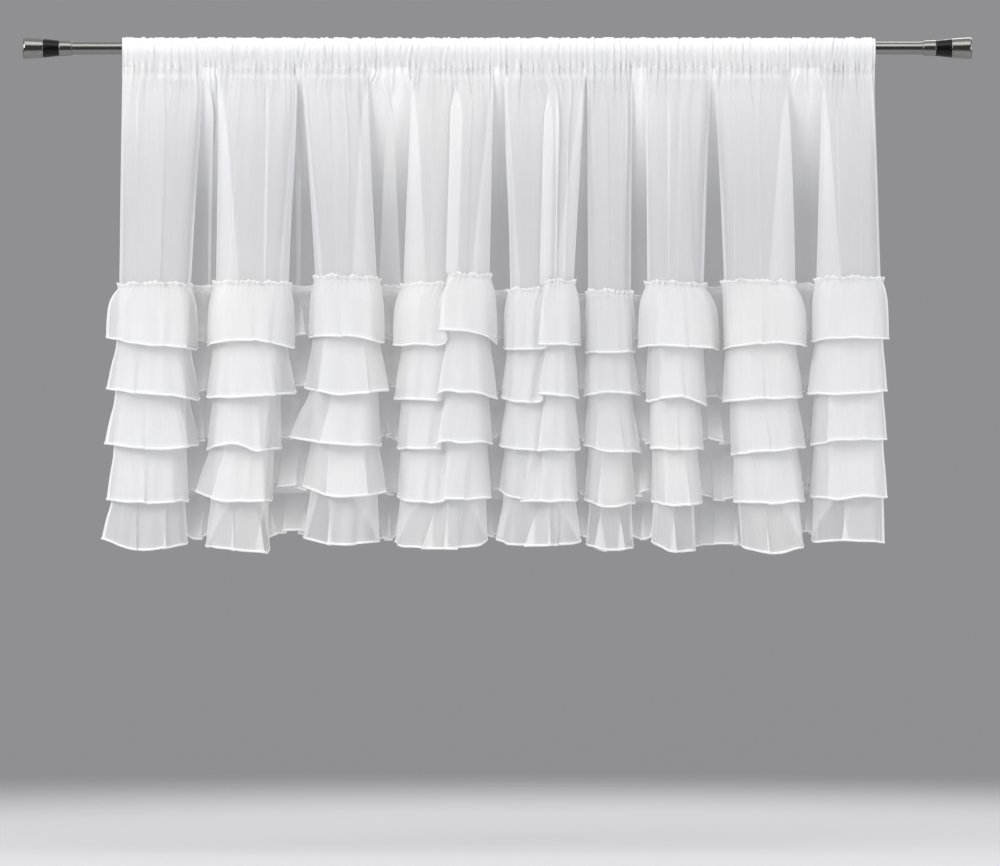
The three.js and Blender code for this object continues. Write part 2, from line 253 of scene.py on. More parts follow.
def beside(i, side):
    """The fold on one side of a hollow, its edge there, and the direction that leads under it."""
    return (i + 1, LEFT, 1) if side == RIGHT else (i, RIGHT, -1)


def back_of(i):
    return HOLLOWS[i].back if 0 <= i < LAST else 0


def is_left(i, across, level):
    return across < (FOLDS[i].split[level] if FOLDS[i].split else 0.5)


def face_y(i, across, depth, forward, level):
    """The depth of a point across a fold, whose face but not its edges may be moved forward."""
    left = is_left(i, across, level)
    side = back_of(i - 1) if left else back_of(i)
    step = FOLDS[i].step if left else 0
    return lerp(FOLDS[i].front + step, side, depth) - forward * (1 - depth / EDGE_DEPTH)


def seam_share(z):
    """How far a height lies on the way from the folds' upper edges to the top seam."""
    return np.clip((FOLDED_Z - z) / (FOLDED_Z - FIRST_SEAM_Z), 0, 1)


def panel_edge(i, side, z):
    below = np.clip((FIRST_SEAM_Z - z) / (FIRST_SEAM_Z - PANEL_FOOT_Z), 0, 1)
    above = lerp(FOLDS[i].top[side], FOLDS[i].seam[side], seam_share(z))
    return lerp(above, FOLDS[i].foot[side], below)


def panel_line(z):
    """The panel's folds in plan at a height."""
    turned_under = lerp(UNDER_TOP, 1, seam_share(z))

    def face(i, along, across, depth):
        x = lerp(panel_edge(i, LEFT, z), panel_edge(i, RIGHT, z), across)
        return x, face_y(i, across, depth, 0, AT_PANEL)

    def hollow(i, side, inner):
        fold, edge, inward = beside(i, side)
        back = HOLLOWS[i].back
        reach = HOLLOWS[i].under[side] * turned_under * (INNER_UNDER if inner else OUTER_UNDER)
        forward = 0 if inner else OUTER_FORWARD
        return panel_edge(fold, edge, z) + inward * reach, lerp(back, FOLDS[fold].front, forward)

    return fold_line(face, hollow)


def heading_values():
    """Where the points of a fold line lie along the flat heading."""
    def face(i, along, across, depth):
        return lerp(*FOLDS[i].top, (along - FACE[0].along) / (FACE[-1].along - FACE[0].along))

    def hollow(i, side, inner):
        share = INNER_PLACE if inner else OUTER_PLACE
        return lerp(FOLDS[i].top[RIGHT], FOLDS[i + 1].top[LEFT], 1 - share if side == RIGHT else share)

    return fold_values(face, hollow)


def lift_values():
    """How much higher the seams ride at the points of a fold line."""
    def face(i, along, across, depth):
        return FOLDS[i].lifts[LEFT if is_left(i, across, AT_PANEL) else RIGHT] - EDGE_DROP * depth

    def hollow(i, side, inner):
        return min(FOLDS[i].lifts[RIGHT], FOLDS[i + 1].lifts[LEFT]) - HOLLOW_DROP

    return fold_values(face, hollow)


def count_faces():
    """The first and last point of each fold's face, counted along a fold line."""
    ends = []
    start = 0
    for i in range(len(FOLDS)):
        end = start + len(face_points(i, AT_PANEL)) - 1
        ends.append((start, end))
        start = end + 1 + HOLLOW_POINTS
    return ends


HEADING = heading_values()
LIFTS = lift_values()
# 1 on the folds' faces, less at their edges and 0 inside the hollows
FACING = fold_values(
    lambda i, along, across, depth: 1 - 0.5 * depth, lambda i, side, inner: 0 if inner else 0.2
)
FOLD_COVERS = fold_values(lambda i, *point: FOLDS[i].cover, lambda i, side, inner: 1)
FACE_ENDS = count_faces()
HOLLOW_MIDDLES = [end + (HOLLOW_POINTS + 1) / 2 for _, end in FACE_ENDS[:-1]]


def heading_place(steps):
    """Where the columns of a cloth lie along the flat heading."""
    return spline(HEADING[:, None], steps)[:, 0]


def column_values(values, steps):
    """Values at the points of a fold line, smoothed over the columns of a cloth."""
    return spline(np.column_stack([HEADING, values * 100]), steps)[:, 1] / 100


# Meshes
def new_object(name, data):
    made = bpy.data.objects.new(name, data)
    bpy.context.scene.collection.objects.link(made)
    return made


def mesh_object(name, vertices, faces, uvs=None, cover=None, sharp=None):
    mesh = bpy.data.meshes.new(name)
    mesh.from_pydata(np.asarray(vertices, dtype=float).tolist(), [], faces)
    mesh.shade_smooth()
    if uvs is not None:
        corners = np.empty(len(mesh.loops), dtype=np.int32)
        mesh.loops.foreach_get("vertex_index", corners)
        layer = mesh.uv_layers.new(name="Flat")
        layer.data.foreach_set("uv", np.asarray(uvs, dtype=np.float32)[corners].ravel())
    if cover is not None:
        attribute = mesh.attributes.new("cover", "FLOAT", "POINT")
        attribute.data.foreach_set("value", np.asarray(cover, dtype=np.float32))
    mesh.update()
    if sharp is not None:
        mesh.set_sharp_from_angle(angle=math.radians(sharp))
    return new_object(name, mesh)


def measured(line, whole):
    """How far each point lies along a line, scaled to a whole length."""
    length = np.concatenate([[0], np.cumsum(np.linalg.norm(np.diff(line, axis=0), axis=1))])
    return length / length[-1] * whole


class Sheet:
    """A cloth of rows of points, each with its cover, the share of what lies behind that it hides."""

    def __init__(self):
        self.rows = []
        self.covers = []

    def add(self, row, *covers):
        """Takes a row with the greatest of its covers, each one number or one for each point."""
        self.rows.append(row)
        self.covers.append(np.max([np.broadcast_to(cover, len(row)) for cover in covers], axis=0))

    def faces(self):
        count = len(self.rows[0])
        first = (np.arange(len(self.rows) - 1)[:, None] * count + np.arange(count - 1)[None, :]).ravel()
        return np.column_stack([first, first + count, first + count + 1, first + 1]).tolist()

    def made(self, name, flat):
        """The mesh, with its place on the flat cloth as its UV."""
        across = measured(self.rows[len(self.rows) * 2 // 3], flat[0])
        down = measured([row[len(row) // 2] for row in self.rows], flat[1])
        uvs = np.column_stack([np.tile(across, len(self.rows)), np.repeat(down, len(across))])
        return mesh_object(name, np.vstack(self.rows) * MM, self.faces(), uvs, np.concatenate(self.covers))


def edge_cover(line, most):
    """A cover that grows to the most where the cloth runs front to back, as along a fold's edge."""
    start = 0.66
    return most * np.clip((start - np.abs(fronts(line)[:, 1])) / start, 0, 1)


def side_hems(wide, count):
    """1 along a cloth's two side edges, so many columns wide, and 0 between them."""
    k = np.arange(count)
    return 1 - ease(wide * 0.8, wide, np.minimum(k, count - 1 - k))


# Panel
# Where the panel folds over itself: x at the top seam, overlap, and which side lies in front
PANEL_TUCKS = [
    (-673, 10.4, 1), (-95, 15.6, -1), (97, 14.3, -1), (335, 13, 1), (363, 13, -1), (527, 9.1, 1),
    (-467, 9.1, 1),
]
TUCK_HALF, TUCK_STEP = 11, 2.2

# Fine creases down the folds' faces: x just under the heading, x at the top seam, overlap and front side
CREASES = [
    (-721, -719, 4.14, 1), (-507, -540, 5.29, 1), (-479, -446, 5.29, -1), (-334, -319, 4.83, -1),
    (-289, -309, 5.06, 1), (-134, -129, 4.6, -1), (-53, -60, 5.06, 1), (114, 117, 4.83, 1),
    (139, 133, 4.83, -1), (221, 223, 4.14, 1), (386, 393, 4.14, 1), (479, 471, 4.6, -1),
    (545, 551, 4.83, 1), (673, 689, 5.06, 1), (729, 723, 4.83, -1),
]
CREASE_HALF, CREASE_STEP = 6, 1.2
MOST_LEAN = 9

# Folds inside the hollows: which one, columns off its middle, half-width, overlap at top and seam, front side
HOLLOW_TUCKS = [
    (0, 0, 14, 12, 13, 1), (1, -6, 14, 9, 14, 1), (2, 0, 20, 22, 46, -1), (7, 6, 17, 9, 12, -1),
]
HOLLOW_TUCK_STEP = 3

# Narrow pleats down from the heading, their pitch, stray and half-width in columns
NARROW_SEED = 21
NARROW_PITCH, NARROW_STRAY = 11.5, 4
NARROW_OVERLAPS = (1.2, 4.2)
NARROW_LENGTH, NARROW_MORE = 40, 330
NARROW_HALF, NARROW_STEP = 4, 1.1

# The fine pleats of the heading: pitch and seed
FINE_PLEATS = (12.5, 11)
# The reach of the heading's pleats, and the lengths over which they grow and fade below it
FINE_REACH, FINE_FADE = 4.3, 46
MIDDLE_REACH, MIDDLE_GROWTH, MIDDLE_FADE = 4.6, 30, 150
BROAD_REACH, BROAD_GROWTH = 3.6, 120

# The back half of the pocket, from its seam to its top: depth and height
POCKET = [(11.5, -22), (17.4, -10), (19.6, 1), (17.2, 12.5), (10.4, 18.6), (0, 20.6)]
# The gathers of the pocket: how far they rise, how far in they begin, and how they slant
PUFF_REACH, PUFF_IN, PUFF_SLANT = 3.6, 2.1, 0.26
# How far the two layers under the pocket lie from their middle
LAYER_GAP = 2.2

# Heights of the panel's rows
TURNED_ROWS = [POCKET_HEM_Z, -52, -44, POCKET_SEAM_Z]
GATHERED_ROWS = [POCKET_SEAM_Z, -41, -46, -51, -56, -60.5, -65, -71, -79, -89, -101, -115, -131, -150]
LOWER_ROWS = [
    *np.linspace(-172, -466, 12), FIRST_SEAM_Z, *np.linspace(-506, PANEL_FOOT_Z + 8, 7), PANEL_FOOT_Z,
]

# Covers of the panel, and the columns that its side hems take
POCKET_COVER, TURNED_COVER, PANEL_EDGE, PANEL_FACE, PANEL_GATHERED = 1.0, 0.3, 0.95, 0.34, 0.08
PANEL_HOLLOW, PANEL_HEM = 0.85, 0.5
PANEL_SIDE_COLUMNS = 9


def panel_base(z):
    """The panel's fold line at a height, growing from the flat heading."""
    level = min(max(z, FIRST_SEAM_Z), GROWTH_START_Z)

    def grown(length):
        whole = 1 - math.exp((FIRST_SEAM_Z - GROWTH_START_Z) / length)
        return (1 - math.exp((level - GROWTH_START_Z) / length)) / whole

    line = panel_line(z)
    depth = grown(DEPTH_GROWTH)
    y = line[:, 1] * np.where(line[:, 1] > 0, grown(HOLLOW_GROWTH), depth)
    return np.column_stack([lerp(HEADING, line[:, 0], grown(SPREAD_GROWTH)), y, LIFTS * depth])


PANEL_PLACE = heading_place(PANEL_STEPS)
PANEL_FACING = np.clip(column_values(FACING, PANEL_STEPS), 0, 1)
FINE = pleats(PANEL_PLACE, *FINE_PLEATS)
FINER = pleats(PANEL_PLACE, pitch=7.5, seed=12)
MIDDLE = pleats(PANEL_PLACE, pitch=31, seed=13)
BROAD = pleats(PANEL_PLACE, pitch=66, seed=14)
LEAN = drift(PANEL_PLACE, pitch=45, seed=16)
SEAM_LINE = spline(panel_base(FIRST_SEAM_Z), PANEL_STEPS)
TOP_LINE = spline(panel_base(FOLDED_Z), PANEL_STEPS)


def crease_columns():
    """The creases by the columns where they start and end, no more than a few apart."""
    made = []
    for top, seam, overlap, side in CREASES:
        start = column_at(TOP_LINE, top)
        end = column_at(SEAM_LINE, seam)
        lean = min(max(end - start, -MOST_LEAN), MOST_LEAN) / 2
        middle = (start + end) / 2
        made.append((middle - lean, middle + lean, overlap, side))
    return made


def narrow_pleats():
    """The narrow pleats on the folds' faces: column, overlap, length and front side."""
    rng = np.random.default_rng(NARROW_SEED)
    margin = 6
    made = []
    for centre in np.arange(margin, len(PANEL_PLACE) - margin, NARROW_PITCH):
        column = int(centre + rng.uniform(-NARROW_STRAY, NARROW_STRAY))
        overlap = rng.uniform(*NARROW_OVERLAPS)
        length = NARROW_LENGTH + NARROW_MORE * rng.random() ** 2.2
        side = rng.choice([-1, 1])
        if PANEL_FACING[column] > 0.6:
            made.append((column, overlap, length, side))
    return made


TUCK_COLUMNS = [(column_at(SEAM_LINE, x), overlap, side) for x, overlap, side in PANEL_TUCKS]
CREASE_COLUMNS = crease_columns()
NARROW_PLEATS = narrow_pleats()


def panel_row(z):
    """A row of the panel, with its pleats and tucks, which are slight behind the ruffles."""
    below = POCKET_SEAM_Z - z
    past_seam = FIRST_SEAM_Z - z
    fall = np.clip(below / (POCKET_SEAM_Z - FIRST_SEAM_Z), 0, 1)
    slight = 1 - 0.85 * ease(-12, 4, past_seam)
    line = spline(panel_base(z), PANEL_STEPS)
    fine = FINE_REACH * math.exp(-below / FINE_FADE) * (0.8 * FINE + 0.3 * FINER)
    middle = MIDDLE_REACH * (1 - math.exp(-below / MIDDLE_GROWTH)) * math.exp(-below / MIDDLE_FADE) * MIDDLE
    broad = BROAD_REACH * (1 - math.exp(-below / BROAD_GROWTH)) * BROAD
    line = pushed(line, front_share(line, 0.3) * (fine + (middle + broad) * slight))
    growth = ease(20, 110, below) * slight
    for centre, overlap, side in TUCK_COLUMNS:
        line = tucked(line, centre, TUCK_HALF, overlap * growth, TUCK_STEP * growth, side)
    for top, seam, overlap, side in CREASE_COLUMNS:
        centre = lerp(top, seam, fall)
        line = tucked(line, centre, CREASE_HALF, overlap * growth, CREASE_STEP * growth, side)
    reach = ease(12, 100, below) * (1 - 0.8 * ease(0, 40, past_seam))
    for hollow, shift, half, top, seam, side in HOLLOW_TUCKS:
        centre = HOLLOW_MIDDLES[hollow] * PANEL_STEPS + shift
        overlap = lerp(top, seam, fall) * reach
        line = tucked(line, centre, half, overlap, HOLLOW_TUCK_STEP * reach, side, lean=1)
    for centre, overlap, length, side in NARROW_PLEATS:
        strength = lerp(0.35, 1, ease(0, 28, below)) * (1 - ease(length * 0.35, length, below))
        if strength > 0:
            line = tucked(line, centre, NARROW_HALF, overlap * strength, NARROW_STEP * strength, side)
    return np.column_stack([line[:, :2], z + line[:, 2]])


def pocket_row(y, z, seam):
    """A row of the pocket round the rod, its gathers standing out from the rod."""
    reach = math.hypot(y, z)
    place = PANEL_PLACE + LEAN * (20 - z) * PUFF_SLANT
    swell = (pleats(place, *FINE_PLEATS) + 1) / 2
    crinkles = pleats(place - LEAN * 9, pitch=6.5, seed=12)
    puff = PUFF_REACH * (1 - (1 - swell) ** 2.2) - PUFF_IN + crinkles
    return np.column_stack([
        seam[:, 0] + 0.8 * FINER,
        y + y / reach * puff,
        z + max(z, -6) / reach * (puff * 0.6 + 1.3 * MIDDLE),
    ])


def panel_face(z):
    """The cover of the folds' faces and of the hollows at a height, denser under the heading."""
    face = PANEL_FACE + PANEL_GATHERED * (1 - ease(60, 340, -z))
    hollow = PANEL_HOLLOW * (1 - ease(45, 350, -z))
    return lerp(hollow, face, PANEL_FACING)


def build_panel():
    sheet = Sheet()
    seam = panel_row(POCKET_SEAM_Z)
    sides = PANEL_HEM * side_hems(PANEL_SIDE_COLUMNS, len(seam))
    for z in TURNED_ROWS:
        row = panel_row(z)
        row[:, 1] += LAYER_GAP
        sheet.add(row, TURNED_COVER)
    for y, z in POCKET + [(-y, z) for y, z in POCKET[-2::-1]]:
        sheet.add(pocket_row(y, z, seam), POCKET_COVER)
    for z in GATHERED_ROWS:
        row = panel_row(z)
        row[:, 1] -= LAYER_GAP * (1 - ease(60, 90, -z))
        share = ease(34, 44, -z)
        sheet.add(row, lerp(POCKET_COVER, panel_face(z), share), edge_cover(row, PANEL_EDGE) * share, sides)
    for z in LOWER_ROWS:
        row = panel_row(z)
        hem = PANEL_HEM if z <= PANEL_FOOT_Z + 12 else 0
        sheet.add(row, edge_cover(row, PANEL_EDGE), panel_face(z), sides, hem)
    return sheet.made("panel_voile", PANEL_FLAT)


# Heading stitches
# Columns from one stitch to the next and along one, its radius, and its ends' share of that
STITCH_PITCH, STITCH_COLUMNS = 3, 2
STITCH_RADIUS, STITCH_END_SHARE = 0.25, 0.35
STITCH_SIDES = 4
STITCH_FORWARD = 2.5


def build_stitches():
    line = panel_row(POCKET_SEAM_Z)
    line[:, 1] -= STITCH_FORWARD
    ring = [(math.cos(a), math.sin(a)) for a in np.arange(STITCH_SIDES) * 2 * math.pi / STITCH_SIDES]
    vertices, faces = [], []
    for k in range(0, len(line) - STITCH_COLUMNS - 1, STITCH_PITCH):
        start, end = line[k], line[k + STITCH_COLUMNS]
        middle = (start + end) / 2 + np.array([0, -STITCH_RADIUS * 0.8, 0])
        first = len(vertices)
        for point, size in ((start, STITCH_END_SHARE), (middle, 1), (end, STITCH_END_SHARE)):
            vertices += [point + STITCH_RADIUS * size * np.array([0, c, s]) for c, s in ring]
        for a in (first, first + STITCH_SIDES):
            for q in range(STITCH_SIDES):
                n = (q + 1) % STITCH_SIDES
                faces.append((a + q, a + n, a + n + STITCH_SIDES, a + q + STITCH_SIDES))
        ends = range(first, first + STITCH_SIDES), range(len(vertices) - STITCH_SIDES, len(vertices))
        faces += [tuple(ends[0][::-1]), tuple(ends[1])]
    return mesh_object("heading_stitches", np.array(vertices) * MM, faces)


# Ruffles
# How a ruffle grows from its seam: share of its height, share of the way to its hem
TOP_SWELL = ((0, 0), (0.34, 0.38), (0.66, 0.7), (0.965, 0.97), (1, 1))
TOP_SPREAD = ((0, 0), (0.13, 0.45), (0.32, 0.8), (0.62, 0.96), (1, 1))
SWELL = ((0, 0), (0.34, 0.14), (0.66, 0.6), (0.965, 0.96), (1, 1))


# How a ruffle hangs: the growth of its depth and of its width, how far its gathers, flutes and waves stand
# out, how full its tucks are, the cover of its faces, and whether a frill stands above its seam
Style = namedtuple("Style", "swell spread gathers flutes waves tucks cover frill")
PLAIN = Style(SWELL, SWELL, gathers=1.0, flutes=3.0, waves=3.6, tucks=1.4, cover=0.45, frill=False)
TOP = PLAIN._replace(swell=TOP_SWELL, spread=TOP_SPREAD, gathers=2.3, frill=True)
LOWEST = PLAIN._replace(flutes=5.2, waves=5.0, tucks=1.8, cover=0.29)


# A ruffle: the heights of its seam and hem, its style, its hem on each fold as left edge, right edge and dips
# from left to right, and its tucks as x at the hem, overlap, step in depth and which side lies in front
Ruffle = namedtuple("Ruffle", "seam hem style hems tucks")
RUFFLES = [
    Ruffle(FIRST_SEAM_Z, -596, TOP, [
        (-781, -597, -16, -2, 2, 10), (-581, -405, 0, -10, -8, 6), (-377, -225, -16, -18, -16, -4),
        (-209, -1, 0, 0, -28, -2), (11, 167, 6, 8, 0, 0), (175, 277, 14, 14, 14, 12),
        (281, 445, 2, 2, 4, 8), (451, 619, 6, -2, -4, 2), (629, 781, -8, -14, -14, -14),
    ], [
        (-673, 9, 2, 1), (-608, 9, 4, 1), (-495, 11, 3, 1), (-450, 9, 2, -1), (-311, 9, 2, -1),
        (-113, 9, 6, -1), (87, 9, 5, -1), (199, 7, 2, 1), (315, 9, 3, -1), (381, 8, 2, 1), (527, 8, 2, 1),
    ]),
    Ruffle(-548, -698, PLAIN, [
        (-783, -593, -14, -6, -2, 8), (-581, -401, 2, 2, 0, -8), (-387, -217, -18, -2, -4, -12),
        (-207, -1, 4, 8, -8, 6), (9, 163, 2, 12, -2, 4), (171, 287, 0, -8, -8, -4),
        (299, 417, 10, 4, 2, 18), (449, 611, 12, 6, 6, 2), (621, 781, -4, -4, -6, -10),
    ], [
        (-721, 9, 2, 1), (-661, 9, 2, -1), (-616, 10, 5, 1), (-459, 9, 2, 1), (-429, 10, 6, 1),
        (-357, 8, 6, -1), (-257, 9, 3, 1), (-113, 5, 4, -1), (83, 5, 4, -1), (327, 5, 4, -1),
        (371, 9, 2, 1), (531, 9, 2, 1),
    ]),
    Ruffle(-654, -800, PLAIN, [
        (-783, -595, -6, 2, 4, -4), (-581, -431, 4, -10, 8, 0), (-417, -229, -20, -8, -4, -2),
        (-201, -9, 2, 2, -10, -8), (5, 163, -6, 6, 6, 2), (173, 289, -4, 8, 10, 10),
        (305, 411, 2, 4, 4, 2), (467, 615, 14, 10, 6, -2), (625, 779, -4, -14, -16, -16),
    ], [
        (-701, 9, 2, 1), (-617, 10, 5, 1), (-483, 9, 2, 1), (-455, 9, 4, 1), (-355, 12, 8, -1),
        (-247, 6, 3, 1), (-113, 5, 4, -1), (81, 6, 3, -1), (199, 10, 3, -1), (253, 8, 2, 1),
        (361, 8, 2, 1), (545, 9, 2, 1), (659, 8, 5, -1),
    ]),
    Ruffle(-758, -906, PLAIN, [
        (-779, -617, -2, 4, 4, 0), (-605, -447, -18, 2, 2, 0), (-387, -223, -28, -8, -8, -16),
        (-201, -13, -6, 4, -2, -8), (3, 161, -22, 2, 2, 0), (173, 275, -2, 12, 12, 4),
        (307, 411, 0, 10, 10, 4), (473, 615, 2, 6, 6, 0), (625, 779, -8, -2, -8, -6),
    ], [
        (-701, 9, 2, 1), (-567, 11, 7, -1), (-465, 7, 4, 1), (-341, 10, 4, -1), (-257, 10, 5, 1),
        (-109, 8, 4, -1), (-65, 9, 2, 1), (51, 11, 6, -1), (203, 10, 5, -1), (333, 5, 4, -1),
        (383, 8, 2, 1), (541, 9, 2, 1), (657, 8, 6, -1),
    ]),
    Ruffle(-860, -1000, LOWEST, [
        (-787, -619, -16, 2, 4, -10), (-583, -455, -4, 2, 8, 10), (-389, -235, -20, -6, -6, -12),
        (-207, -19, -10, 2, 2, -14), (-3, 167, -20, -4, -4, -14), (179, 273, -6, 6, 6, 0),
        (309, 393, -10, 6, 8, 6), (487, 613, -2, 10, 10, -2), (629, 777, -12, -14, -14, -10),
    ], [
        (-721, 10, 3, 1), (-661, 10, 3, -1), (-529, 10, 3, 1), (-471, 11, 5, 1), (-345, 13, 6, -1),
        (-321, 8, 2, 1), (-287, 9, 3, -1), (-263, 6, 2, 1), (-139, 12, 4, -1), (-111, 11, 4, 1),
        (-73, 12, 4, -1), (65, 11, 4, -1), (97, 11, 4, 1), (129, 9, 3, -1), (203, 11, 4, -1),
        (247, 9, 3, 1), (351, 9, 4, 1), (541, 9, 3, 1), (693, 12, 5, -1),
    ]),
]

# How far a ruffle lies from the panel at its seam, and how far its faces and hollows stand forward at its hem
SEAM_OFFSET = 2.6
HEM_FLARE, HEM_HOLLOW = 21, 18
# The hem's reach under a fold: its own, a share of the panel's, the room left to the panel, and the least
HEM_UNDER, HEM_UNDER_SHARE = 5, 0.25
HEM_CLEAR, LEAST_UNDER = 5, 0.5
# How much higher the hem hangs in the hollows, and how far it strays there
HOLLOW_RISE = 14
STRAY_DEPTH, STRAY_RISE = 5, 9
# Loose cloth in a hollow: its stray in x, depth and dip and its place forward, both less in a narrow gap
LOOSE_STRAY, LOOSE_FORWARD = (4, 9, 9), (0, 4, 0)
WIDE_GAP, LEAST_LOOSE = 32, 0.2

# Half-widths of the tucks and of the small ones in the hollows, and for these the gap that each needs, the
# most in a hollow, the columns between them, their stray, overlaps and step
TUCK_HALF_AT_HEM, SMALL_HALF = 7.5, 5
SMALL_GAP, MOST_SMALL, SMALL_COLUMNS = 26, 3, 12
SMALL_STRAY, SMALL_OVERLAPS, SMALL_STEP = 3, (7, 14), 3

# The share of a ruffle's height over which its gathers fade, and how uneven its hem is
GATHER_FADE = 0.2
HEM_SAG = 1.6
SEED_STEP = 40

# The frill above the top seam, from its edge down: height, how far forward, cover
FRILL = [(9.5, 2.6, 0.8), (8.8, 2.9, 0.8), (6.5, 2.4, 0.8), (3.8, 1.6, 0.55), (1.6, 0.6, 0.55)]
# The rows of a ruffle, as shares of its height
RUFFLE_ROWS = [0, 0.02, 0.05, *np.linspace(0.09, 0.965, 21)]
# The rolled hem, from its front round its foot to its back: height above the foot, how far forward
ROLLED_HEM = [(4.9, 0.1), (3.8, 0.6), (2.2, 0.9), (0.6, 0.6), (0, 0), (0.7, -0.6), (2.5, -0.9), (4.7, -0.4)]

# Covers of the ruffles, and the columns that their side hems take
RUFFLE_EDGE, RUFFLE_SIDE, RUFFLE_SEAM, RUFFLE_HOLLOW = 0.75, 0.75, 0.5, 0.36
ROLLED_HOLLOW, ROLLED_MORE = 0.78, 0.2
RUFFLE_SIDE_COLUMNS = 2.5
# A flap behind a tuck of this step or more, and within this reach of its fold's edge, loses cover
FLAP_STEP, FLAP_REACH, FLAP_LOSS = 4, 66, 0.55

RUFFLE_PLACE = heading_place(RUFFLE_STEPS)
RUFFLE_FACING = np.clip(column_values(FACING, RUFFLE_STEPS), 0, 1)


def flat_size(ruffle):
    return RUFFLE_FLAT_WIDTH, abs(ruffle.hem - ruffle.seam) * MM + RUFFLE_ALLOWANCE


def hem_gaps(ruffle):
    """How far apart the hem's neighbouring folds are."""
    return [after[LEFT] - before[RIGHT] for before, after in zip(ruffle.hems, ruffle.hems[1:])]


def hem_line(ruffle, seed):
    """A ruffle's hem in plan, with its dips as a third coordinate."""
    stray = np.random.default_rng(seed).uniform(-1, 1, (LAST, 2, 2))
    loose = np.random.default_rng(seed + 20).uniform(-1, 1, (LAST, 2, 3)) * LOOSE_STRAY - LOOSE_FORWARD
    loose *= np.clip(np.array(hem_gaps(ruffle)) / WIDE_GAP, LEAST_LOOSE, 1)[:, None, None]
    hems = ruffle.hems

    def dip(i, across):
        dips = hems[i][DIPS]
        if FOLDS[i].split:
            near, far = (dips[1], dips[0]) if is_left(i, across, AT_HEM) else (dips[2], dips[3])
            return lerp(near, far, ease(0.3, 0.5, abs(across - 0.5)))
        return np.interp(across, (0, 1 / 3, 2 / 3, 1), dips)

    def face(i, along, across, depth):
        x = lerp(hems[i][LEFT], hems[i][RIGHT], across)
        return x, face_y(i, across, depth, HEM_FLARE, AT_HEM), dip(i, across)

    def hollow(i, side, inner):
        fold, edge, inward = beside(i, side)
        edge_x = hems[fold][edge]
        room = abs(panel_edge(fold, edge, ruffle.hem) - edge_x) - HEM_CLEAR
        under = max(min(HEM_UNDER + HEM_UNDER_SHARE * HOLLOWS[i].under[side], room), LEAST_UNDER)
        x = edge_x + inward * under * (INNER_UNDER if inner else OUTER_UNDER)
        back = HOLLOWS[i].back - HEM_HOLLOW + STRAY_DEPTH * stray[i, side, 0]
        dips = (hems[i][DIPS][-1] + hems[i + 1][DIPS][0]) / 2
        rise = dips - HOLLOW_RISE + STRAY_RISE * stray[i, side, 1]
        if inner:
            return x, back, rise
        edge_y = face_y(fold, edge, EDGE_DEPTH, HEM_FLARE, AT_HEM)
        return x, lerp(edge_y, back, 0.55), lerp(rise, dip(fold, edge), 0.4)

    return fold_line(face, hollow, AT_HEM, loose)


def smooth_table(pairs, share):
    points = spline(np.array(pairs, dtype=float), 12)
    return np.interp(share, points[:, 0], points[:, 1])


def level_dips(bottom, x):
    """The hem's dips by place across each plain fold, so that both layers of a tuck end at one height."""
    dips = bottom[:, 2].copy()
    for fold, (start, end) in zip(FOLDS, FACE_ENDS):
        if not fold.split:
            k = slice(start * RUFFLE_STEPS, end * RUFFLE_STEPS + 1)
            dips[k] = np.interp(x[k], bottom[k, 0], bottom[k, 2])
    return dips


def ruffle_tucks(ruffle, bottom, seed):
    """A ruffle's tucks, also the small ones in its hollows: column, half-width, overlap, step, front side."""
    made = []
    for x, overlap, step, side in ruffle.tucks:
        made.append((column_at(bottom, x), TUCK_HALF_AT_HEM, ruffle.style.tucks * overlap, step, side))
    rng = np.random.default_rng(seed)
    for middle, gap in zip(HOLLOW_MIDDLES, hem_gaps(ruffle)):
        count = min(max(round(gap / SMALL_GAP), 1), MOST_SMALL)
        for place in (np.arange(count) - (count - 1) / 2) * SMALL_COLUMNS:
            centre = middle * RUFFLE_STEPS + place + rng.uniform(-SMALL_STRAY, SMALL_STRAY)
            overlap = rng.uniform(*SMALL_OVERLAPS) * min(1, gap / WIDE_GAP)
            made.append((centre, SMALL_HALF, overlap, SMALL_STEP, rng.choice([-1, 1])))
    return made


def nearest_fold(hems, x):
    return min(range(len(hems)), key=lambda i: abs(x - (hems[i][LEFT] + hems[i][RIGHT]) / 2))


def flap_share(ruffle, bottom):
    """A lower share of the cover on the flaps behind deep tucks, out to the edges of their folds."""
    share = np.ones(len(bottom))
    for x, _, step, side in ruffle.tucks:
        fold = nearest_fold(ruffle.hems, x)
        outer = RIGHT if side > 0 else LEFT
        if step < FLAP_STEP or abs(ruffle.hems[fold][outer] - x) > FLAP_REACH:
            continue
        start = column_at(bottom, x)
        past = (np.arange(len(bottom)) - start) * side
        edge = abs(FACE_ENDS[fold][outer] * RUFFLE_STEPS - start)
        share *= 1 - FLAP_LOSS * ease(-1, 3, past) * (past <= edge + RUFFLE_STEPS / 2)
    return share


def ruffle_face(ruffle, bottom):
    """The cover of a ruffle's faces, lower in the hollows, on a sheer fold and on the flaps behind tucks."""
    face = ruffle.style.cover * RUFFLE_FACING ** 0.7
    return face * column_values(FOLD_COVERS, RUFFLE_STEPS) * flap_share(ruffle, bottom)


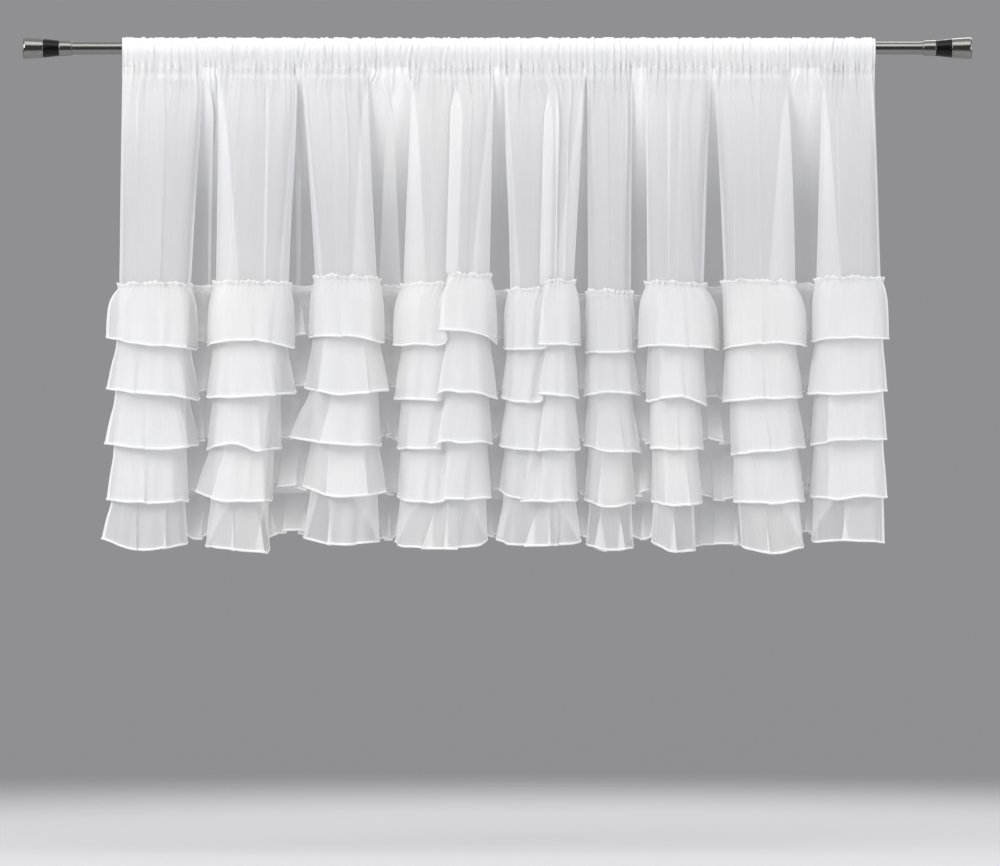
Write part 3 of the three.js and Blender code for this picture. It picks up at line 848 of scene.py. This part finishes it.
def build_ruffle(number, ruffle):
    style = ruffle.style
    seed = SEED_STEP * number
    top = spline(panel_base(ruffle.seam), RUFFLE_STEPS)
    bottom = spline(hem_line(ruffle, seed + 5), RUFFLE_STEPS)

    def waving(pitch, shift):
        return pleats(RUFFLE_PLACE, pitch, seed + shift)

    gathers = 0.75 * waving(pitch=8.5, shift=0) + 0.35 * waving(pitch=4.6, shift=1)
    flutes = waving(pitch=27, shift=2)
    waves = waving(pitch=60, shift=3)
    sag = drift(RUFFLE_PLACE, pitch=14, seed=seed + 4)
    tucks = ruffle_tucks(ruffle, bottom, seed + 6)

    def plan_at(share):
        swell = smooth_table(style.swell, share)
        spread = smooth_table(style.spread, share)
        plan = lerp(pushed(top, SEAM_OFFSET), bottom, np.array([spread, swell, swell]))
        fine = style.gathers * math.exp(-share / GATHER_FADE) * (gathers + 0.9)
        wide = (style.flutes * flutes + style.waves * waves) * swell
        plan = pushed(plan, front_share(plan, 0.2) * (fine + wide))
        for centre, half, overlap, step, side in tucks:
            plan = tucked(plan, centre, half, overlap * swell, step * swell, side)
        return plan

    dips = level_dips(bottom, plan_at(1)[:, 0])

    def row_at(share):
        height = lerp(ruffle.seam + top[:, 2], ruffle.hem - dips, share) + HEM_SAG * sag * share
        return np.column_stack([plan_at(share)[:, :2], height])

    sheet = Sheet()
    if style.frill:
        seam = row_at(0)
        uneven = 1 + 0.2 * waving(pitch=9.5, shift=7) + 0.32 * waving(pitch=34, shift=8)
        for rise, forward, cover in FRILL:
            row = pushed(seam, forward * (gathers + 0.7))
            row[:, 2] += rise * uneven
            sheet.add(row, cover)
    face = ruffle_face(ruffle, bottom)
    sides = RUFFLE_SIDE * side_hems(RUFFLE_SIDE_COLUMNS, len(face))
    for share in RUFFLE_ROWS:
        row = row_at(share)
        hollow = RUFFLE_HOLLOW * share * share * (1 - RUFFLE_FACING)
        seam = RUFFLE_SEAM * math.exp(-share / 0.05)
        sheet.add(row, edge_cover(row, RUFFLE_EDGE), face + hollow, sides, seam)
    end = row_at(1)
    for rise, forward in ROLLED_HEM:
        row = pushed(end, forward)
        row[:, 2] += rise
        sheet.add(row, ROLLED_HOLLOW + ROLLED_MORE * RUFFLE_FACING)
    return sheet.made(f"ruffle_voile_{number}", flat_size(ruffle))


# Rod and finials
TURNED_SIDES = 96
SHARP_ANGLE = 32
CORNER_STEPS = 5
TUBE_RADIUS = 11.5
ROD_RADIUS = 12.55
SEAT_END = 874.7
# The right finial outwards from the rod, as points of radius and distance from mid-length
BORE_RADIUS, BORE_END, COLLAR_START = 12.9, 855, 851.2
NECK_START, NECK_END = (13.9, 877.3), (17.1, 908.7)
FINIAL_END = 949
COLLAR = [(BORE_RADIUS, COLLAR_START), (14.2, 851.6), (14.9, 856), (15.75, 876.6), (15.2, 877.2), NECK_START]
CAP = [NECK_END, (18.4, 908.8), (19.0, 909.4), (21.5, 945.5), (20.2, FINIAL_END), (0, FINIAL_END)]
BAND = [(14.2, 877.5), (15.55, 877.6), (18.85, 908.5), (17.4, 908.6), (14.2, 877.5)]
COLLAR_ROUND, CAP_ROUND, BAND_ROUND = 1.6, 2.2, 0.7


def turned(name, profile, mirror=1):
    """A turning about X from points of radius and distance along, mirrored with -1."""
    angles = np.arange(TURNED_SIDES) * 2 * math.pi / TURNED_SIDES
    vertices, rings = [], []
    for radius, along in profile:
        if radius == 0:
            rings.append([len(vertices)])
            vertices.append((mirror * along, 0, 0))
            continue
        rings.append(list(range(len(vertices), len(vertices) + TURNED_SIDES)))
        vertices += [(mirror * along, radius * math.cos(a), radius * math.sin(a)) for a in angles]
    faces = []
    for a, b in zip(rings, rings[1:]):
        for k in range(TURNED_SIDES):
            n = (k + 1) % TURNED_SIDES
            face = (a[k], b[0], a[n]) if len(b) == 1 else (a[k], b[k], b[n], a[n])
            faces.append(face if mirror < 0 else face[::-1])
    return mesh_object(name, np.array(vertices) * MM, faces, sharp=SHARP_ANGLE)


def rounded(profile, radius):
    """A profile with its inner corners rounded."""
    points = [np.array(p, dtype=float) for p in profile]
    out = [profile[0]]
    for before, corner, after in zip(points, points[1:], points[2:]):
        into, away = before - corner, after - corner
        cut = min(radius, 0.45 * np.linalg.norm(into), 0.45 * np.linalg.norm(away))
        a = corner + into / np.linalg.norm(into) * cut
        b = corner + away / np.linalg.norm(away) * cut
        for t in np.linspace(0, 1, CORNER_STEPS):
            out.append(tuple((1 - t) ** 2 * a + 2 * t * (1 - t) * corner + t * t * b))
    return out + [profile[-1]]


def build_metal():
    """The rod, the finials and their bands, by the names of the nodes that they replace."""
    ends = [(TUBE_RADIUS, SEAT_END), (ROD_RADIUS, SEAT_END)]
    made = {"rod": turned("rod_tube", [(radius, -along) for radius, along in ends] + ends[::-1])}
    body = [(BORE_RADIUS, BORE_END), *rounded(COLLAR, COLLAR_ROUND), *rounded(CAP, CAP_ROUND)]
    band = rounded(BAND, BAND_ROUND)
    for side, mirror in (("left", -1), ("right", 1)):
        made[f"finial_{side}"] = turned(f"finial_{side}_metal", body, mirror)
        made[f"finial_{side}_band"] = turned(f"finial_{side}_band_gloss", band, mirror)
    return made


# Material nodes
def new_material(name):
    material = bpy.data.materials.new(name)
    material.use_nodes = True
    tree = material.node_tree
    return material, tree, tree.nodes["Principled BSDF"]


def feed(tree, target, inputs):
    """Sets the inputs of a node, each to a value or by a link from another node's output."""
    for key, value in inputs.items():
        if isinstance(value, bpy.types.NodeSocket):
            tree.links.new(value, target.inputs[key])
        else:
            target.inputs[key].default_value = value


def node(tree, kind, inputs=None, **settings):
    made = tree.nodes.new(kind)
    for key, value in settings.items():
        setattr(made, key, value)
    feed(tree, made, inputs or {})
    return made


def ramp(tree, source, stops):
    made = node(tree, "ShaderNodeValToRGB", {"Fac": source})
    elements = made.color_ramp.elements
    while len(elements) < len(stops):
        elements.new(0.5)
    for element, (place, colour) in zip(elements, stops):
        element.position = place
        element.color = (*colour, 1)
    return made.outputs["Color"]


def math_node(tree, operation, *values, clamp=False):
    made = node(tree, "ShaderNodeMath", dict(enumerate(values)), operation=operation, use_clamp=clamp)
    return made.outputs["Value"]


def object_place(tree):
    return node(tree, "ShaderNodeTexCoord").outputs["Object"]


def stretched(tree, place, scale):
    return node(tree, "ShaderNodeMapping", {"Vector": place, "Scale": scale}).outputs["Vector"]


def noise(tree, place, scale, detail):
    inputs = {"Vector": place, "Scale": scale, "Detail": detail}
    return node(tree, "ShaderNodeTexNoise", inputs).outputs["Fac"]


def ranged(tree, source, start, end, low=0, high=1, kind="LINEAR"):
    """A value moved from one range to another."""
    inputs = {"Value": source, "From Min": start, "From Max": end, "To Min": low, "To Max": high}
    return node(tree, "ShaderNodeMapRange", inputs, interpolation_type=kind).outputs["Result"]


def bump(tree, height, strength, distance):
    inputs = {"Height": height, "Strength": strength, "Distance": distance}
    return node(tree, "ShaderNodeBump", inputs).outputs["Normal"]


# Materials
def voile(name, thin, thick, cool, warm):
    """Sheer plain-woven cloth, denser along its folds' edges and hems, with uneven threads."""
    material, tree, shader = new_material(name)
    flat = node(tree, "ShaderNodeUVMap", uv_map="Flat").outputs["UV"]
    warp, weft = (
        node(tree, "ShaderNodeTexWave", {"Vector": flat, "Scale": 410}, bands_direction=way).outputs["Fac"]
        for way in ("X", "Y")
    )
    threads = math_node(tree, "MAXIMUM", warp, weft)
    slubs = noise(tree, stretched(tree, flat, (220, 18, 1)), 1.0, 1.0)
    clouds = noise(tree, object_place(tree), 3.2, 1.0)
    cover = node(tree, "ShaderNodeAttribute", attribute_name="cover").outputs["Fac"]
    weave = math_node(tree, "MULTIPLY_ADD", threads, 0.24, 0.84)
    woven = math_node(tree, "MULTIPLY", ranged(tree, cover, 0, 1, thin, thick), weave)
    uneven = math_node(tree, "MULTIPLY_ADD", slubs, 0.08, 0.96)
    feed(tree, shader, {
        "Alpha": math_node(tree, "MULTIPLY", woven, uneven, clamp=True),
        "Base Color": ramp(tree, clouds, [(0.36, cool), (0.64, warm)]),
        "Normal": bump(tree, threads, 0.18, 0.0006),
        "Roughness": ranged(tree, slubs, 0, 1, 0.7, 0.88),
        "Specular IOR Level": 0.2,
        "Sheen Weight": 0.35,
        "Sheen Roughness": 0.4,
    })
    return material


def thread_material():
    material, tree, shader = new_material("sewing_thread")
    twist = noise(tree, object_place(tree), 900.0, 1.0)
    feed(tree, shader, {
        "Base Color": ramp(tree, twist, [(0.3, (0.8, 0.8, 0.83)), (0.7, (0.93, 0.93, 0.94))]),
        "Roughness": 0.6,
        "Sheen Weight": 0.2,
    })
    return material


def steel_material():
    material, tree, shader = new_material("brushed_rod_steel")
    place = object_place(tree)
    grain = noise(tree, stretched(tree, place, (14, 900, 900)), 1.0, 3.0)
    smudge = noise(tree, place, 38.0, 3.0)
    brushed = math_node(tree, "MULTIPLY_ADD", grain, 0.06, 0.12)
    feed(tree, shader, {
        "Base Color": ramp(tree, grain, [(0.3, (0.225, 0.225, 0.21)), (0.7, (0.28, 0.28, 0.262))]),
        "Roughness": math_node(tree, "MULTIPLY_ADD", smudge, 0.04, brushed),
        "Normal": bump(tree, grain, 0.02, 0.0002),
        "Metallic": 1.0,
    })
    return material


def band_material():
    material, tree, shader = new_material("black_band_gloss")
    speck = noise(tree, object_place(tree), 260.0, 2.0)
    feed(tree, shader, {
        "Base Color": ramp(tree, speck, [(0.35, (0.0015, 0.0015, 0.002)), (0.7, (0.004, 0.004, 0.0045))]),
        "Roughness": math_node(tree, "MULTIPLY_ADD", speck, 0.12, 0.2),
        "Specular IOR Level": 0.25,
    })
    return material


# Object
def dress(piece, material, slot, *nodes):
    piece.data.materials.append(material)
    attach(piece, "root")
    if nodes:
        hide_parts(*nodes)


panel_cloth = voile("panel_voile_cloth", 0.29, 1.12, (0.88, 0.88, 0.905), (0.915, 0.915, 0.915))
ruffle_cloth = voile("ruffle_voile_cloth", 0.29, 1.1, (0.89, 0.89, 0.91), (0.925, 0.922, 0.915))
thread = thread_material()
steel = steel_material()
black = band_material()

panel = build_panel()
dress(panel, panel_cloth, "panel_voile", "panel")
heading_stitches = build_stitches()
dress(heading_stitches, thread, "panel_voile")

for number, row in enumerate(RUFFLES, 1):
    ruffle = build_ruffle(number, row)
    dress(ruffle, ruffle_cloth, "ruffle_voile", f"ruffle_{number}")
    flat_size(row)

for node_name, piece in build_metal().items():
    is_band = node_name.endswith("band")
    dress(piece, black if is_band else steel, "band_black" if is_band else "rod_steel", node_name)


# Stage, light and camera, in metres
FLOOR_HALF = 6.0
FLOOR_Z = -1.62
# Colours of the studio by height, from straight down to straight up
STUDIO_COLOURS = [
    (0.0, (0.27, 0.27, 0.28)),
    (0.4, (0.27, 0.27, 0.28)),
    (0.6, (0.285, 0.285, 0.295)),
    (0.85, (0.7, 0.7, 0.72)),
]
# Colour sockets of a Mix node
MIX_A, MIX_B, MIX_RESULT = 6, 7, 2
CAMERA_DISTANCE = 16.0
VIEW_MIDDLE = (0.005, -0.01, -0.77)
VIEW_WIDTH = 2.0
SENSOR_WIDTH = 36


# An area light: its place, its width and height, its power, the point it faces, and whether gloss shows it
Light = namedtuple("Light", "name place size power target glossy", defaults=((0, 0, -0.5), True))
LIGHTS = [
    Light("key", (-2.8, -3.4, 1.4), (2.2, 2.2), 92),
    Light("overhead", (0, -1.9, 2.6), (4.0, 2.4), 48, target=(0, 0, -0.4)),
    Light("fill", (3.2, -3.4, -0.2), (2.2, 2.2), 32),
    Light("left side", (-3.6, -0.7, 0.3), (1.2, 2.2), 20),
    Light("right side", (3.6, -0.7, 0.3), (1.2, 2.2), 26),
    Light("front", (0.4, -4.6, -1.0), (3.0, 1.6), 14, target=(0, 0, -0.75), glossy=False),
    Light("behind", (1.5, 3.6, 1.8), (3.0, 2.0), 60),
]


def build_floor():
    """A pale floor that fades out around its middle."""
    corners = [(x * FLOOR_HALF, y * FLOOR_HALF, FLOOR_Z) for x, y in ((-1, -1), (1, -1), (1, 1), (-1, 1))]
    floor = mesh_object("floor", corners, [(0, 1, 2, 3)])
    material, tree, shader = new_material("pale_floor")
    place = stretched(tree, object_place(tree), (0.24, 0.24, 0))
    fade = node(tree, "ShaderNodeTexGradient", {"Vector": place}, gradient_type="SPHERICAL").outputs["Fac"]
    soft = ranged(tree, fade, 0, 0.6, kind="SMOOTHSTEP")
    feed(tree, shader, {"Alpha": soft, "Base Color": (0.62, 0.62, 0.63, 1), "Roughness": 0.9})
    floor.data.materials.append(material)


def build_world():
    """Grey all round, paler above, and darker before the curtain, where the metal mirrors it."""
    world = bpy.data.worlds.new("studio")
    bpy.context.scene.world = world
    world.use_nodes = True
    tree = world.node_tree
    direction = node(tree, "ShaderNodeTexCoord").outputs["Generated"]
    split = node(tree, "ShaderNodeSeparateXYZ", {"Vector": direction})
    front = ranged(tree, split.outputs["Y"], -0.55, -0.95, kind="SMOOTHSTEP")
    colours = ramp(tree, ranged(tree, split.outputs["Z"], -1, 1), STUDIO_COLOURS)
    inputs = {"Factor": front, MIX_A: colours, MIX_B: (0.11, 0.11, 0.112, 1)}
    mixed = node(tree, "ShaderNodeMix", inputs, data_type="RGBA").outputs[MIX_RESULT]
    feed(tree, tree.nodes["Background"], {"Color": mixed, "Strength": 1.0})


def build_camera():
    data = bpy.data.cameras.new("camera")
    data.sensor_width = SENSOR_WIDTH
    data.lens = SENSOR_WIDTH * CAMERA_DISTANCE / VIEW_WIDTH
    camera = new_object("camera", data)
    x, y, z = VIEW_MIDDLE
    camera.location = (x, y - CAMERA_DISTANCE, z)
    camera.rotation_euler = (math.pi / 2, 0, 0)
    bpy.context.scene.camera = camera


def build_light(row):
    data = bpy.data.lights.new(row.name, "AREA")
    data.shape = "RECTANGLE"
    data.size, data.size_y = row.size
    data.energy = row.power
    light = new_object(row.name, data)
    light.location = row.place
    light.visible_glossy = row.glossy
    towards = Vector(row.target) - Vector(row.place)
    light.rotation_euler = towards.to_track_quat("-Z", "Y").to_euler()


build_floor()
build_world()
build_camera()
for row in LIGHTS:
    build_light(row)
bpy.context.scene.view_settings.view_transform = "Standard"
cycles = bpy.context.scene.cycles
cycles.transparent_max_bounces = 40
cycles.max_bounces = 8
cycles.diffuse_bounces = 3
